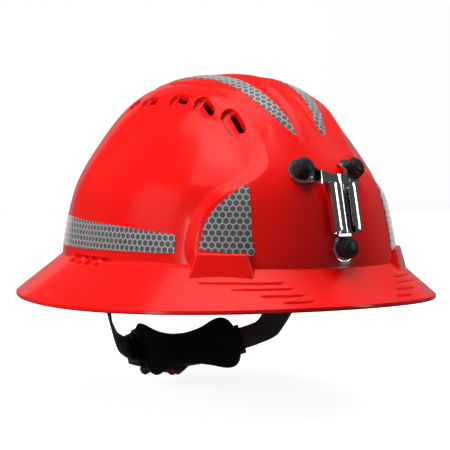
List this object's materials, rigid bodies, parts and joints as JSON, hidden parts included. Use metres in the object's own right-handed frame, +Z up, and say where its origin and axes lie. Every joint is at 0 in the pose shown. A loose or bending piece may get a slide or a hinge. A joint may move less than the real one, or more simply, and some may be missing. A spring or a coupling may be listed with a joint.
{
  "type": "full-brim safety helmet",
  "caption": "Red vented safety helmet with a full brim, a chrome lamp bracket, reflective film and an adjustable ratchet harness.",
  "frame": {"origin": "centre of the head opening, on the plane of the brim's lower corner line", "axes": "+Z up towards the crown, -Y towards the front of the helmet, +X towards the wearer's left"},
  "size_m": [0.284, 0.317, 0.2219],
  "materials": {
    "shell_red": "high gloss",
    "reflective_film": "honeycomb film, satin",
    "chrome_plate": "polished",
    "steel": "plain",
    "cap_black": "satin",
    "webbing": "woven",
    "pad_fabric": "matte brushed",
    "knob_red": "satin",
    "harness_plastic": "satin"
  },
  "bodies": {
    "helmet": {"bolt_caps": "cap_black", "bracket_bolts": "steel", "bracket_nuts": "steel", "bracket_washers": "chrome_plate", "cable_clip": "harness_plastic", "cable_clip_rivet": "steel", "crown_pad": "pad_fabric", "crown_rivet": "steel", "crown_strip_left": "reflective_film", "crown_strip_right": "reflective_film", "front_patch_left": "reflective_film", "front_patch_right": "reflective_film", "headband": "harness_plastic", "hook_front_left": "harness_plastic", "hook_front_right": "harness_plastic", "hook_rear_left": "harness_plastic", "hook_rear_right": "harness_plastic", "hook_side_left": "harness_plastic", "hook_side_right": "harness_plastic", "hook_studs": "harness_plastic", "lamp_bracket": "chrome_plate", "shell": "shell_red", "side_band_left": "reflective_film", "side_band_right": "reflective_film", "sweatband": "pad_fabric", "temple_pin_left": "harness_plastic", "temple_pin_right": "harness_plastic", "webbing_cross_a": "webbing", "webbing_cross_b": "webbing", "webbing_side": "webbing"},
    "nape_cradle": {"ratchet_housing": "harness_plastic", "ratchet_cover": "harness_plastic", "housing_screws": "steel", "nape_pad": "pad_fabric"},
    "knob": {"ratchet_knob": "knob_red", "pinion": "harness_plastic", "pawl_spring": "steel", "knob_screw": "steel"},
    "arm_left": {"nape_arm_left": "harness_plastic"},
    "arm_right": {"nape_arm_right": "harness_plastic"}
  },
  "joints": [
    {"name": "nape_swing", "type": "hinge", "parent": "helmet", "child": "nape_cradle", "pos_m": [0, 0.009, 0.026], "axis": [1, 0, 0], "range_deg": [-6, 34]},
    {"name": "knob_turn", "type": "hinge", "parent": "nape_cradle", "child": "knob", "pos_m": [0, 0.06519, -0.05392], "axis": [0, -0.848, 0.5299], "range_deg": [0, 165.5]},
    {"name": "arm_left_draw", "type": "hinge", "parent": "nape_cradle", "child": "arm_left", "pos_m": [0, 0.009, 0.026], "axis": [0, 0.5299, 0.848], "range_deg": [0, 8.85]},
    {"name": "arm_right_draw", "type": "hinge", "parent": "nape_cradle", "child": "arm_right", "pos_m": [0, 0.009, 0.026], "axis": [0, -0.5299, -0.848], "range_deg": [0, 8.85]}
  ],
  "couplings": [
    {"joint": "arm_left_draw", "follows": "knob_turn", "ratio": 0.053444},
    {"joint": "arm_right_draw", "follows": "knob_turn", "ratio": 0.052265}
  ]
}
